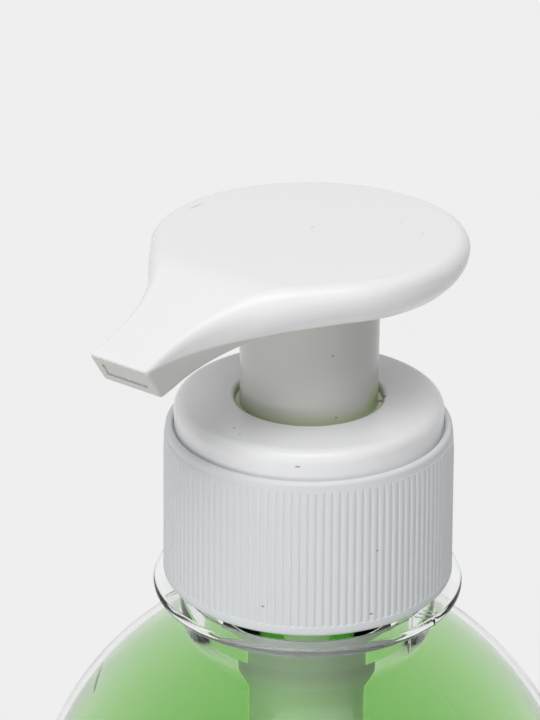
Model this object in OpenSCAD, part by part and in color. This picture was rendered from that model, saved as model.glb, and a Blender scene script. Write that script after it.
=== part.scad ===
// Liquid soap bottle with a lotion pump
// The origin is the centre of the base on the table, Z runs up the bottle's axis,
// and the spout points along -Y. Millimetres.

/* [Bottle] */
// Outside diameter of the body
body_d = 65; // [60:1:70]
// Height of the neck's base above the table
body_h = 112; // [100:1:150]
// Radius of the round shoulder, seen from the side
shoulder_r = 35; // [33:0.5:38]
// Wall of the body
wall = 0.8; // [0.5:0.1:1.2]
// Thickness of the floor
floor_t = 1.5; // [1:0.1:2.5]
// Radius of the corner between the floor and the body
corner_r = 6; // [4:0.5:9]
// Width of the flat ring that the bottle stands on
foot_w = 2.5; // [1.5:0.1:4]
// Height of the hollow under the floor
push_up = 4; // [2:0.5:6]
// How far the soap stands above the neck's base
fill_h = 2; // [0.5:0.5:4]

/* [Neck] */
// Outside diameter of the neck under its thread
finish_d = 25.1; // [24.8:0.1:25.3]
// Wall of the neck inside its thread
neck_wall = 1.7; // [1.5:0.05:1.8]
// Step out from the threaded neck to the neck below the support ring
neck_step = 1.05; // [0.75:0.05:1.4]
// Height from the neck's base to the top of the support ring
ring_top_h = 6.3; // [5:0.1:8]
// How far the support ring stands out past the cap
ring_overhang = 1.1; // [0.6:0.05:2]
// Thickness of the support ring
ring_t = 1.1; // [0.8:0.1:1.6]
// Fillet where the neck meets the shoulder
neck_fillet = 1.2; // [0.6:0.1:2]
// Height of the mouth above the support ring
finish_h = 14.3; // [13.8:0.1:16]

/* [Thread] */
// Rise of the thread in one turn
pitch = 4.23; // [4:0.01:4.5]
// Depth of the thread
thread_depth = 1.15; // [1:0.05:1.2]
// Width of the thread at its foot
thread_w = 1.9; // [1.6:0.1:2]
// Turns of thread round the neck
neck_turns = 1.5; // [1.25:0.05:1.5]
// Turns of thread inside the cap
cap_turns = 1.25; // [1:0.05:1.25]

/* [Screw cap] */
// Wall of the cap at its bottom edge, with the ribs
cap_wall = 1.65; // [1.5:0.05:2]
// Height of the rolled lip above the cap's inner flange
lip_rise = 0.5; // [0.4:0.05:1]
// Gap between the support ring and the cap
cap_gap = 0.9; // [0.5:0.1:1.5]
// Draft of the outside wall, degrees
cap_draft = 1.15; // [0.5:0.05:2]
// Number of grip ribs
rib_count = 120; // [80:2:140]
// Width of one rib
rib_w = 0.42; // [0.3:0.02:0.5]
// Height of a rib above the wall
rib_h = 0.2; // [0.1:0.02:0.3]
// Plain band below the ribs
rib_band = 1.1; // [0.6:0.1:2]
// Plain band above the ribs, up to the top of the lip
rib_top_gap = 1; // [0.8:0.1:1.6]
// Thickness of the cap's inner flange
cap_flange_t = 1.05; // [0.8:0.05:1.4]

/* [Collar] */
// Step out from the cap's bore to the side of the collar
collar_step = 0.2; // [0:0.05:0.4]
// Height of the collar above the cap's lip
collar_rise = 3; // [2:0.1:4]
// Fall of the collar's top from the hole to its rounded edge
collar_fall = 0.15; // [0:0.05:0.6]
// Radius of the collar's outer edge
collar_edge_r = 1.3; // [0.6:0.1:2]
// Radius of the edge round the hole
hole_edge_r = 0.5; // [0.3:0.05:0.8]
// Wall of the collar and of the well below it
collar_t = 1; // [0.8:0.1:1.3]
// Thickness of the well's floor
well_floor_t = 1; // [0.8:0.1:1.4]
// Wall of the guide sleeve
sleeve_t = 1; // [0.8:0.1:1.2]
// Height of the guide sleeve above the well's floor
sleeve_h = 14; // [10:0.5:15]

/* [Pump head] */
// Diameter of the round finger pad
pad_d = 32.4; // [30:0.1:35]
// Thickness of the pad at its rim
pad_t = 4.6; // [3.5:0.1:5.5]
// Inward lean of the pad's side wall, top to bottom
pad_lean = 2; // [1:0.1:3]
// Bow of the side wall: 1 is straight, more is rounder
wall_bow = 2.1; // [1:0.1:3]
// Radius of the pad's top edge
pad_edge_r = 1.4; // [0.8:0.1:1.6]
// Radius of the top edge where the pad turns into the spout
saddle_edge_r = 2; // [1:0.1:2.6]
// Radius of the top edge at the tip
tip_edge_r = 0.8; // [0.5:0.1:1.2]
// Wall of the pad where its underside is hollow
pad_wall = 1.4; // [1:0.1:2]
// Angle of the flanks that narrow the pad to the spout, degrees
flank_angle = 38.7; // [34:0.1:44]
// Radius of the hollow curve where a flank meets the spout
flank_fillet = 17; // [8:1:20]
// Width of the spout
spout_w = 7.15; // [6:0.05:8]
// Length from the pump's axis to the top of the tip
spout_len = 29.4; // [26:0.1:36]
// Distance from the axis to where the spout starts to bend down
bend_at = 13.5; // [12:0.1:18]
// Radius of the bend along the top of the spout
bend_r = 11; // [8:0.5:20]
// Slope of the spout after the bend, degrees
bend_angle = 18; // [10:0.5:25]
// How far the tip's lower edge stands back from its upper edge
tip_cut = 2.1; // [0:0.1:3]
// How much thinner the spout is at the tip than at the pad
tip_thin = 1.3; // [0:0.1:1.6]
// Width of the outlet
outlet_w = 5; // [4:0.1:5.6]
// Height of the outlet
outlet_h = 2; // [1.6:0.1:2.4]
// Play between the sliding skirt and the collar's hole
skirt_play = 0.55; // [0.3:0.05:0.8]
// Wall of the skirt
skirt_t = 1; // [0.8:0.1:1.2]
// Length of skirt that shows above the collar
skirt_show = 13.5; // [12:0.1:16]
// Length of skirt that stays inside the collar
skirt_in = 1.8; // [1.2:0.1:2.4]
// Wall of the socket that holds the stem
socket_t = 1.3; // [1:0.1:1.6]
// Length of the socket below the pad
socket_len = 7.5; // [5:0.5:10]

/* [Pump] */
// Travel of the pump head
stroke = 12.6; // [8:0.1:12.6]
// Wall of the stem
stem_t = 1.2; // [0.9:0.1:1.4]
// Step out from the stem to the wall of the pump chamber
chamber_step = 2.3; // [2.1:0.05:2.6]
// Length of the pump chamber
chamber_len = 38; // [36:0.5:44]
// Wall of the housing
housing_t = 0.9; // [0.7:0.05:1.2]
// Wall of the housing's cup, round the collar's well
cup_wall = 1.35; // [1.2:0.05:1.5]
// Height of the cup below the well
cup_drop = 7; // [5:0.5:9]
// Height of the vent above the cup's floor
vent_up = 4; // [3:0.5:6]
// Diameter of the vent
vent_d = 1; // [0.8:0.1:1.4]
// Length of the piston
piston_len = 5.2; // [4.5:0.1:6]
// Free play of the piston between its seat and the stem
piston_play = 0.8; // [0.4:0.1:1.2]
// Wire of the return spring
wire_d = 0.8; // [0.6:0.05:1]
// Step in from the chamber's wall to the centre of the spring's wire
coil_step = 1.6; // [1.4:0.05:1.9]
// Turns of the return spring
coil_turns = 9; // [6:0.5:11]
// Diameter of the inlet ball
ball_d = 4.8; // [4:0.1:5.2]
// Outside diameter of the dip tube
tube_d = 5.4; // [4.8:0.1:5.8]
// Wall of the dip tube
tube_t = 0.7; // [0.5:0.05:1]
// Gap between the dip tube and the floor
tube_gap = 3; // [2:0.5:8]
// Thickness of the gasket
gasket_t = 1; // [0.6:0.1:1.5]
// Thickness of the housing's flange
flange_t = 1.1; // [0.8:0.1:1.4]

/* [Fits] */
// Play between flat faces that rest on each other
seat_gap = 0.05; // [0.02:0.01:0.1]
// Radial play of a running fit
run_fit = 0.08; // [0.04:0.01:0.1]
// Radial play of a pressed fit
press_fit = 0.03; // [0.02:0.01:0.05]
// Radial play between parts that pass freely
free_fit = 0.3; // [0.25:0.05:0.4]

/* [Hidden] */
$fn = 96;
eps = 0.01;

// Radii of the bottle
body_r = body_d / 2;
finish_r = finish_d / 2;
bore_r = finish_r - neck_wall;
neck_r = finish_r + neck_step;
cap_inner_r = finish_r + thread_depth + free_fit;
cap_foot_r = cap_inner_r + cap_wall;
ring_r = cap_foot_r + ring_overhang;

// Heights of the neck
ring_z = body_h + ring_top_h;
cap_z = ring_z + cap_gap;
mouth_z = ring_z + finish_h;
shoulder_axis_r = body_r - shoulder_r;
shoulder_z = body_h - sqrt(pow(shoulder_r, 2) - pow(neck_r - shoulder_axis_r, 2));
fill_z = body_h + fill_h;
thread_top_gap = 2.2;
thread_root = 0.2;
thread_z = mouth_z - thread_top_gap - pitch * neck_turns;

// Stack above the mouth
gasket_z = mouth_z + seat_gap;
flange_z = gasket_z + gasket_t + seat_gap;
flange_top_z = flange_z + flange_t;
cap_flange_z = flange_top_z + seat_gap;
collar_z = cap_flange_z + cap_flange_t + seat_gap;
lip_z = cap_flange_z + cap_flange_t + lip_rise;
cap_h = lip_z - cap_z;
dome_z = lip_z + collar_rise;

// Radii of the pump, each one inside the last
cup_r = bore_r - 2 * free_fit;
cup_in_r = cup_r - cup_wall;
well_r = cup_in_r - free_fit / 3;
lower_cup_r = well_r - free_fit / 3;
hole_r = well_r - collar_t;
skirt_r = hole_r - skirt_play;
skirt_inner_r = skirt_r - skirt_t;
sleeve_r = skirt_inner_r - free_fit;
sleeve_inner_r = sleeve_r - sleeve_t;
socket_r = sleeve_inner_r - free_fit;
stem_r = socket_r - socket_t - press_fit;
stem_bore_r = stem_r - stem_t;
chamber_r = stem_r + chamber_step;
barrel_r = chamber_r + housing_t;
coil_r = chamber_r - coil_step;
collar_r = cap_inner_r + collar_step;
flange_r = finish_r + thread_depth - 2 * free_fit;
foot_r = cup_r + free_fit / 2;
ball_r = ball_d / 2;
ball_seat_r = ball_r + free_fit;
seat_step = 0.8;
inlet_r = ball_r - seat_step;
tube_r = tube_d / 2;
tail_r = tube_r + press_fit + housing_t;

// Heights of the pump
pad_z = dome_z + skirt_show;
pad_top_z = pad_z + pad_t;
channel_z = pad_z + (pad_t - outlet_h) / 2;
skirt_z = dome_z - skirt_in;
well_clear = 2.2;
well_z = skirt_z - stroke - well_clear;
cup_z = well_z - well_floor_t - housing_t - seat_gap;
waist_z = cup_z - cup_drop;
cone_h = 1.4;
chamber_z = waist_z - cone_h;
stem_dip = 0.6;
stem_z = chamber_z - stem_dip;
seat_z = stem_z - piston_len - piston_play;
seat_t = 1.2;
seat_r = chamber_r - 3 * free_fit;
chamber_floor_z = chamber_z - chamber_len;
retainer_t = 1.4;
retainer_h = 5.4;
spring_z = chamber_floor_z + retainer_h;
spring_top_z = seat_z - seat_t;
ball_seat_h = 1.4;
ball_lip_h = 0.2;
ball_seat_z = chamber_floor_z - ball_lip_h - ball_seat_h;
tail_len = 7;
tail_wall_h = 2;
tube_top_z = ball_seat_z - tail_wall_h;
tail_z = tube_top_z - tail_len;
tube_z = floor_t + push_up + tube_gap;

// Points on an arc from angle a0 to a1
function arc(c, r, a0, a1, n = 12) =
    [for (i = [0:n]) let (a = a0 + (a1 - a0) * i / n) [c[0] + r * cos(a), c[1] + r * sin(a)]];

// Points of the dome under the floor, from the axis outward, raised by up
function dome_points(r, up, n = 10) =
    let (sphere_r = (r * r + push_up * push_up) / (2 * push_up))
    [for (i = [0:n]) let (x = r * i / n) [x, up + push_up - sphere_r + sqrt(sphere_r * sphere_r - x * x)]];

// Half section of the space inside the bottle, from the floor's centre up to height top,
// drawn in by inset from the wall
function inside_points(inset, top) =
    let (dome_r = body_r - corner_r - foot_w,
         inner_r = shoulder_r - wall - inset,
         mouth_r = bore_r - inset,
         end_a = acos((mouth_r - shoulder_axis_r) / inner_r))
    concat(
        dome_points(dome_r, floor_t + inset),
        arc([body_r - corner_r, corner_r + wall / 2], corner_r - wall - inset, -90, 0, 8),
        arc([shoulder_axis_r, shoulder_z], inner_r, 0, end_a, 30),
        [[mouth_r, top]]);

// A ring-shaped solid of revolution between two radii and two heights
module tube(r_in, r_out, z0, z1) {
    translate([0, 0, z0])
        difference() {
            cylinder(r = r_out, h = z1 - z0);
            translate([0, 0, -1])
                cylinder(r = r_in, h = z1 - z0 + 2);
        }
}

// A closed mesh through rings of points, each ring listed the same way round
module skin(rings) {
    n = len(rings[0]);
    m = len(rings);
    sides = [for (j = [0:m - 2]) for (i = [0:n - 1])
        [j * n + i, j * n + (i + 1) % n, (j + 1) * n + (i + 1) % n, (j + 1) * n + i]];
    first = [[for (i = [0:n - 1]) n - 1 - i]];
    last = [[for (i = [0:n - 1]) (m - 1) * n + i]];
    polyhedron(points = [for (ring = rings) for (p = ring) p], faces = concat(first, sides, last));
}

// A right-hand thread whose tooth runs from radius foot to radius crest.
// Its ends fade out over a twelfth of a turn
module thread(foot, crest, z0, a0, turns, steps = 36) {
    count = round(turns * steps);
    fade = steps / 12;
    rings = [for (i = [0:count])
        let (a = a0 + 360 * i / steps,
             z = z0 + pitch * i / steps,
             full = min(1, (min(i, count - i) + 0.2) / fade),
             r = foot + (crest - foot) * full,
             w = thread_w * (0.4 + 0.6 * full) / 2,
             section = [[foot, -w], [foot, w], [r, w * 0.55], [r, -w * 0.55]])
        [for (p = section) [p[0] * cos(a), p[0] * sin(a), z + p[1]]]];
    skin(crest > foot ? [for (ring = rings) [for (k = [3:-1:0]) ring[k]]] : rings);
}

module bottle() {
    dome_r = body_r - corner_r - foot_w;
    fillet_z = shoulder_z + sqrt(pow(shoulder_r + neck_fillet, 2)
        - pow(neck_r + neck_fillet - shoulder_axis_r, 2));
    shoulder_end = atan2(fillet_z - shoulder_z, neck_r + neck_fillet - shoulder_axis_r);
    edge = 0.45 * ring_t;
    mouth_edge = 0.4;
    outside = concat(
        dome_points(dome_r, 0),
        arc([body_r - corner_r, corner_r], corner_r, -90, 0, 10),
        arc([shoulder_axis_r, shoulder_z], shoulder_r, 0, shoulder_end, 32),
        arc([neck_r + neck_fillet, fillet_z], neck_fillet, 180 + shoulder_end, 180, 6),
        arc([neck_r + edge, ring_z - ring_t - edge], edge, 180, 90, 3),
        arc([ring_r - edge, ring_z - ring_t + edge], edge, -90, 0, 4),
        arc([ring_r - edge, ring_z - edge], edge, 0, 90, 4),
        arc([finish_r + mouth_edge, ring_z + mouth_edge], mouth_edge, 270, 180, 3),
        arc([finish_r - mouth_edge, mouth_z - mouth_edge], mouth_edge, 0, 90, 4));
    inside = inside_points(0, mouth_z);
    color([0.86, 0.93, 0.88, 0.45])
        union() {
            rotate_extrude()
                polygon(concat(outside, [for (i = [len(inside) - 1:-1:0]) inside[i]]));
            thread(finish_r - thread_root, finish_r + thread_depth, thread_z, 0, neck_turns);
        }
}

module liquid_soap() {
    gap = 0.1;
    clear = free_fit + gap;
    outside = inside_points(gap, fill_z);
    hollow = [
        [lower_cup_r + clear, fill_z],
        [lower_cup_r + clear, waist_z - clear],
        [barrel_r + clear, chamber_z - clear],
        [barrel_r + clear, chamber_floor_z - clear],
        [tail_r + clear, ball_seat_z - tail_wall_h / 2 - clear],
        [tail_r + clear, tail_z - clear],
        [tube_r + clear, tail_z - clear],
        [tube_r + clear, tube_z - tube_t],
        [0, tube_z - tube_t]];
    color([0.45, 0.78, 0.33, 0.8])
        rotate_extrude()
            polygon(concat(outside, hollow));
}

// Outside radius of the cap's wall at height z above its bottom edge, over the ribs
function cap_r(z) = cap_foot_r - z * tan(cap_draft);

module screw_cap() {
    rib_top = cap_h - rib_top_gap;
    rib_fade = 1.2;
    band_in = 0.12;
    foot_edge = 0.35;
    seat_h = cap_flange_z - cap_z;
    lip_in_r = collar_r + run_fit;
    lip_out_r = cap_r(cap_h) - rib_h;
    lip_r = (lip_out_r - lip_in_r) / 2;
    shell = concat(
        [[cap_inner_r, foot_edge], [cap_inner_r + foot_edge, 0], [cap_r(0) - band_in - foot_edge, 0]],
        [[cap_r(0) - band_in, foot_edge], [cap_r(rib_band) - band_in, rib_band - foot_edge]],
        [[cap_r(rib_band) - rib_h, rib_band], [cap_r(rib_top) - rib_h, rib_top]],
        arc([lip_out_r - lip_r, cap_h - lip_r], lip_r, 0, 180, 10),
        [[lip_in_r, seat_h + cap_flange_t], [foot_r + free_fit, seat_h + cap_flange_t]],
        [[foot_r + free_fit, seat_h], [cap_inner_r, seat_h]]);
    envelope = [
        [cap_inner_r + cap_wall / 3, rib_band - rib_h],
        [cap_r(rib_band) - rib_h, rib_band - rib_h],
        [cap_r(rib_band), rib_band + rib_h],
        [cap_r(rib_top - rib_fade), rib_top - rib_fade],
        [cap_r(rib_top) - rib_h - eps, rib_top],
        [cap_inner_r + cap_wall / 3, rib_top]];
    color([0.93, 0.94, 0.95])
        translate([0, 0, cap_z])
            union() {
                rotate_extrude()
                    polygon(shell);
                intersection() {
                    linear_extrude(cap_h)
                        for (i = [0:rib_count - 1])
                            rotate(360 * i / rib_count)
                                translate([cap_inner_r + cap_wall / 2, -rib_w / 2])
                                    square([cap_wall, rib_w]);
                    rotate_extrude()
                        polygon(envelope);
                }
                thread(cap_inner_r + thread_root, finish_r + free_fit,
                    thread_z - pitch / 2 + pitch * (neck_turns - cap_turns) - cap_z,
                    360 * (neck_turns - cap_turns), cap_turns);
            }
}

module gasket() {
    color([0.92, 0.92, 0.88])
        tube(bore_r + press_fit, flange_r, gasket_z, gasket_z + gasket_t);
}

module collar() {
    rim_z = dome_z - collar_fall;
    web_z = flange_top_z + seat_gap;
    color([0.95, 0.95, 0.96])
        rotate_extrude()
            polygon(concat(
                arc([hole_r + hole_edge_r, dome_z - hole_edge_r], hole_edge_r, 180, 90, 5),
                arc([collar_r - collar_edge_r, rim_z - collar_edge_r], collar_edge_r, 90, 0, 8),
                [[collar_r, collar_z], [collar_r - collar_t, collar_z]],
                [[collar_r - collar_t, rim_z - collar_edge_r], [collar_r - collar_edge_r, rim_z - collar_t]],
                [[foot_r, rim_z - collar_t], [foot_r, web_z], [well_r, web_z], [well_r, well_z - well_floor_t]],
                [[stem_r + run_fit, well_z - well_floor_t], [stem_r + run_fit, well_z]],
                [[sleeve_inner_r, well_z], [sleeve_inner_r, well_z + sleeve_h]],
                [[sleeve_r, well_z + sleeve_h], [sleeve_r, well_z], [hole_r, well_z]]));
}

module pump_housing() {
    low_in_r = lower_cup_r - housing_t;
    slope = 0.4;
    color([0.9, 0.92, 0.93, 0.8])
        difference() {
            rotate_extrude()
                polygon([
                    [flange_r, flange_z], [flange_r, flange_top_z], [cup_in_r, flange_top_z],
                    [cup_in_r, cup_z + housing_t], [low_in_r, cup_z + housing_t - slope],
                    [low_in_r, waist_z + slope], [chamber_r + slope, chamber_z + 1.5 * slope],
                    [chamber_r, chamber_z], [chamber_r, chamber_floor_z],
                    [ball_seat_r, chamber_floor_z], [ball_seat_r, chamber_floor_z - ball_lip_h],
                    [inlet_r, ball_seat_z], [inlet_r, tube_top_z + seat_gap],
                    [tube_r + press_fit, tube_top_z + seat_gap], [tube_r + press_fit, tail_z],
                    [tail_r, tail_z], [tail_r, ball_seat_z - tail_wall_h / 2],
                    [barrel_r, chamber_floor_z - slope], [barrel_r, chamber_z],
                    [lower_cup_r, waist_z], [lower_cup_r, cup_z - slope],
                    [cup_r, cup_z + slope / 2], [cup_r, flange_z]]);
            // Vent that lets air in behind the soap
            translate([0, 0, cup_z + vent_up])
                rotate([90, 0, 0])
                    cylinder(d = vent_d, h = flange_r);
        }
}

module dip_tube() {
    color([0.94, 0.95, 0.94, 0.8])
        tube(tube_r - tube_t, tube_r, tube_z, tube_top_z);
}

// Height of the ball's centre when it rests on the cone of its seat
function ball_z() =
    let (slope = atan2(ball_seat_h, ball_seat_r - inlet_r))
    ball_seat_z - inlet_r * tan(slope) + (ball_r + seat_gap) / cos(slope);

module inlet_ball() {
    color([0.75, 0.78, 0.8])
        translate([0, 0, ball_z()])
            sphere(r = ball_r);
}

module ball_retainer() {
    outer_r = chamber_r - press_fit;
    hub_r = 1;
    port_w = 1.6;
    port_r = 1.8;
    port_l = 1.4;
    color([0.93, 0.93, 0.92])
        difference() {
            union() {
                tube(outer_r - housing_t, outer_r, chamber_floor_z + seat_gap, spring_z - retainer_t);
                tube(hub_r, outer_r, spring_z - retainer_t, spring_z);
            }
            // Ports round the stop that the ball lifts against
            for (a = [0:90:270])
                rotate(a)
                    translate([port_r, -port_w / 2, spring_z - retainer_t - 1])
                        cube([port_l, port_w, retainer_t + 2]);
        }
}

module return_spring() {
    steps = 18;
    sides = 6;
    wire_r = wire_d / 2;
    height = spring_top_z - spring_z - wire_d - 2 * seat_gap;
    closed_rise = wire_d + seat_gap;
    count = round(coil_turns * steps);
    // Height of the wire's centre after t turns, with one closed turn at each end
    function wire_z(t) =
        t < 1 ? t * closed_rise
        : t > coil_turns - 1 ? height - (coil_turns - t) * closed_rise
        : closed_rise + (height - 2 * closed_rise) * (t - 1) / (coil_turns - 2);
    color([0.72, 0.73, 0.75])
        translate([0, 0, spring_z + wire_r + seat_gap])
            skin([for (i = [0:count])
                let (a = 360 * i / steps, z = wire_z(i / steps))
                [for (k = [0:sides - 1])
                    let (b = 360 * k / sides, r = coil_r + wire_r * cos(b))
                    [r * cos(a), r * sin(a), z + wire_r * sin(b)]]]);
}

module piston() {
    lip_r = chamber_r - run_fit;
    lip_t = 0.5;
    lip_h = 1;
    core_r = lip_r - 1.4;
    waist_r = core_r + 0.2;
    cup_h = 0.9;
    waist_h = 0.4;
    in_r = stem_bore_r + lip_t;
    z0 = seat_z + seat_gap;
    z1 = z0 + piston_len - seat_gap;
    mid = (z0 + z1) / 2;
    color([0.9, 0.92, 0.9])
        rotate_extrude()
            polygon([
                [in_r, z0 + lip_t], [in_r + lip_t, z0], [core_r - lip_t, z0], [core_r, z0 + cup_h],
                [lip_r - lip_t, z0], [lip_r, z0 + lip_t / 2], [lip_r - run_fit, z0 + lip_h],
                [waist_r, mid - waist_h], [waist_r, mid + waist_h],
                [lip_r - run_fit, z1 - lip_h], [lip_r, z1 - lip_t / 2], [lip_r - lip_t, z1],
                [core_r, z1 - cup_h], [in_r + lip_h, z1 - cup_h], [in_r, z1 - cup_h - lip_t]]);
}

module piston_rod() {
    neck = stem_bore_r - 0.2;
    spigot_r = stem_bore_r - press_fit;
    spigot_h = 5;
    guide_r = coil_r - wire_d / 2 - free_fit;
    guide_h = 5;
    guide_edge = 0.8;
    edge = 0.3;
    flat_in = 0.6;
    color([0.93, 0.93, 0.94])
        difference() {
            rotate_extrude()
                polygon([
                    [0, spring_top_z - guide_h], [guide_r - guide_edge, spring_top_z - guide_h],
                    [guide_r, spring_top_z - guide_h + guide_edge], [guide_r, spring_top_z],
                    [seat_r, spring_top_z], [seat_r, seat_z - edge], [seat_r - edge, seat_z],
                    [neck, seat_z], [neck, stem_z], [spigot_r, stem_z + edge],
                    [spigot_r, stem_z + spigot_h - edge], [spigot_r - edge, stem_z + spigot_h],
                    [0, stem_z + spigot_h]]);
            // Flats that let the soap past the spigot
            for (side = [0, 180])
                rotate(side)
                    translate([spigot_r - flat_in, -spigot_r, stem_z])
                        cube([2 * flat_in, 2 * spigot_r, spigot_h + 1]);
        }
}

module stem() {
    top = channel_z - seat_gap;
    slot_w = 1.2;
    slot_h = 2.4;
    color([0.92, 0.93, 0.94])
        difference() {
            tube(stem_bore_r, stem_r, stem_z, top);
            // Slots that take the soap in above the piston
            for (a = [0, 90])
                rotate(a)
                    translate([-2 * stem_r, -slot_w / 2, stem_z - 1])
                        cube([4 * stem_r, slot_w, slot_h + 1]);
        }
}

// Half outline of the pad and spout, seen flat from above, from the tip to the back.
// Each point is distance along the spout, half width, outward direction, share of the
// wall's lean and radius of the top edge
function pad_outline() =
    let (pad_r = pad_d / 2,
         tip_w = spout_w / 2,
         touch_a = 90 - flank_angle,
         touch = [pad_r * cos(touch_a), pad_r * sin(touch_a)],
         turn_w = tip_w + flank_fillet * (1 - cos(flank_angle)),
         turn_s = touch[0] + (touch[1] - turn_w) / tan(flank_angle),
         end_s = turn_s + flank_fillet * sin(flank_angle))
    concat(
        [for (i = [0:2])
            [spout_len + (end_s - spout_len) * i / 3, tip_w, 90, 0, tip_edge_r]],
        [for (i = [0:10])
            let (t = i / 10, a = flank_angle * t)
            [end_s - flank_fillet * sin(a), tip_w + flank_fillet * (1 - cos(a)), 90 - a, t / 2,
                tip_edge_r + (saddle_edge_r - tip_edge_r) * t]],
        [for (i = [1:4])
            let (t = i / 5)
            [turn_s + (touch[0] - turn_s) * t, turn_w + (touch[1] - turn_w) * t, touch_a, (1 + t) / 2,
                saddle_edge_r + (pad_edge_r - saddle_edge_r) * t]],
        [for (i = [0:28])
            let (a = touch_a + (180 - touch_a) * i / 28)
            [pad_r * cos(a), pad_r * sin(a), a, 1, pad_edge_r]]);

// How far the top of the spout has come down at distance s: a bend, then a straight slope
function drop(s) =
    let (x = max(0, s - bend_at), run = bend_r * sin(bend_angle))
    x < run ? bend_r - sqrt(bend_r * bend_r - x * x)
        : bend_r * (1 - cos(bend_angle)) + (x - run) * tan(bend_angle);

// Brings a flat point of the head down along the spout's curve. Towards the tip the
// underside stands back and comes nearer to the top
function bent(p) =
    let (share = max(0, p[0] - bend_at) / (spout_len - bend_at),
         below = 1 - (p[2] - pad_z) / pad_t)
    [p[1], tip_cut * share * below - p[0], p[2] - drop(p[0]) + tip_thin * share * share * below];

// The finger pad and spout as one lofted solid. Levels run from the underside, up the
// bowed wall and over the rounded top edge. Each is how far up the wall it is, then how
// far round the edge, in degrees
module pad_body() {
    half = pad_outline();
    n = len(half);
    foot_in = 0.2;
    levels = concat(
        [[0, 0], [0.08, 0], [0.35, 0], [0.7, 0]],
        [for (i = [0:5]) [1, 18 * i]]);
    m = len(levels);
    function place(q, level, side) =
        let (e = q[4],
             height = (pad_t - e) * level[0] + e * sin(level[1]),
             lean = (pad_lean * pow(1 - level[0], wall_bow) + (level[0] == 0 ? foot_in : 0)) * q[3],
             inset = lean + e * (1 - cos(level[1])) * (0.4 + 0.6 * q[3]))
        bent([q[0] - inset * cos(q[2]) * (q[2] == 90 ? 0 : 1), side * max(0, q[1] - inset * sin(q[2])),
            pad_z + height]);
    // One ring a level, from the tip round the back to the tip
    ring = 2 * n - 1;
    points = [for (level = levels) for (i = [0:ring - 1])
        i < n ? place(half[i], level, 1) : place(half[ring - 1 - i], level, -1)];
    top = (m - 1) * ring;
    polyhedron(
        points = points,
        faces = concat(
            [for (j = [0:m - 2]) for (i = [0:ring - 2])
                [j * ring + i, (j + 1) * ring + i, (j + 1) * ring + i + 1, j * ring + i + 1]],
            [for (i = [0:n - 3]) [top + i, top + ring - 1 - i, top + ring - 2 - i, top + i + 1]],
            [[top + n - 2, top + n, top + n - 1]],
            [for (i = [0:n - 3]) [i, i + 1, ring - 2 - i, ring - 1 - i]],
            [[n - 2, n - 1, n]],
            [concat([for (j = [0:m - 1]) j * ring + ring - 1], [for (j = [m - 1:-1:0]) j * ring])]));
}

// The passage from the stem along the spout and out at the tip
module channel() {
    steps = 12;
    w = outlet_w / 2;
    stations = concat([-stem_r * 0.6], [for (i = [0:steps]) bend_at + (spout_len + 1 - bend_at) * i / steps]);
    skin([for (s = stations) [for (c = [[-w, 0], [-w, outlet_h], [w, outlet_h], [w, 0]])
        bent([s, c[0], channel_z + c[1]])]]);
}

module pump_head() {
    hollow_r = pad_d / 2 - pad_lean - pad_wall;
    hollow_top = pad_top_z - 1.3 * pad_wall;
    rail_w = outlet_w + 2 * pad_wall;
    root_h = 0.9;
    color([0.96, 0.96, 0.97])
        difference() {
            union() {
                difference() {
                    pad_body();
                    // Hollow under the pad, with a rail left round the channel
                    difference() {
                        tube(skirt_r + pad_wall, hollow_r, pad_z - 1, hollow_top);
                        translate([-rail_w / 2, -pad_d, pad_z - 2])
                            cube([rail_w, pad_d, pad_t + 4]);
                    }
                    tube(socket_r, skirt_inner_r, pad_z - 1, pad_z + root_h - 0.1);
                }
                tube(skirt_inner_r, skirt_r, skirt_z, pad_z + root_h);
                tube(stem_r + press_fit, socket_r, pad_z - socket_len, pad_z + root_h);
            }
            translate([0, 0, pad_z - 1])
                cylinder(r = stem_r + press_fit, h = channel_z - pad_z + 1);
            channel();
        }
}

bottle();
liquid_soap();
screw_cap();
gasket();
collar();
pump_housing();
dip_tube();
inlet_ball();
ball_retainer();
return_spring();
piston();
piston_rod();
stem();
pump_head();
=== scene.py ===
import math

import bmesh
import bpy
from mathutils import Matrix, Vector

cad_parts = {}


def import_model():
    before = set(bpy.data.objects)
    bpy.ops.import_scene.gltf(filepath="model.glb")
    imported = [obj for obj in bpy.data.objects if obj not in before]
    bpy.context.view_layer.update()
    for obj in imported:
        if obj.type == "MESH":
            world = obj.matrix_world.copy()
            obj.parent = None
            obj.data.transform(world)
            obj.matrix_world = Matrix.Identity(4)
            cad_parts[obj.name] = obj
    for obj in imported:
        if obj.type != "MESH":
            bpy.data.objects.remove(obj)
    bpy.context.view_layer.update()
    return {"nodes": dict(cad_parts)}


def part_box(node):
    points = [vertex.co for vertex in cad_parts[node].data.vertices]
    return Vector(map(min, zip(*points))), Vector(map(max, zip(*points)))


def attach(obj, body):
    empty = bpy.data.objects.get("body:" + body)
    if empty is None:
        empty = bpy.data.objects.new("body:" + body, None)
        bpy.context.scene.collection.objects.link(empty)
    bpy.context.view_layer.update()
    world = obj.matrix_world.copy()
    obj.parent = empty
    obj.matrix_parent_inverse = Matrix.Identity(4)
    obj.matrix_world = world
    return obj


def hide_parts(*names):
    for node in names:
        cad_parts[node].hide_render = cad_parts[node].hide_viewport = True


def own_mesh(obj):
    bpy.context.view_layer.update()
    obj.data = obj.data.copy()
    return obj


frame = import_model()

# Sizes are in millimetres and become metres in the meshes. They were estimated from the
# photograph with the common 28 mm neck as the scale, and those of hidden parts are guesses
MM = 0.001

# Play between parts
SEAT_GAP = 0.05
RUN_FIT = 0.08
PRESS_FIT = 0.03
FREE_FIT = 0.3

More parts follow.
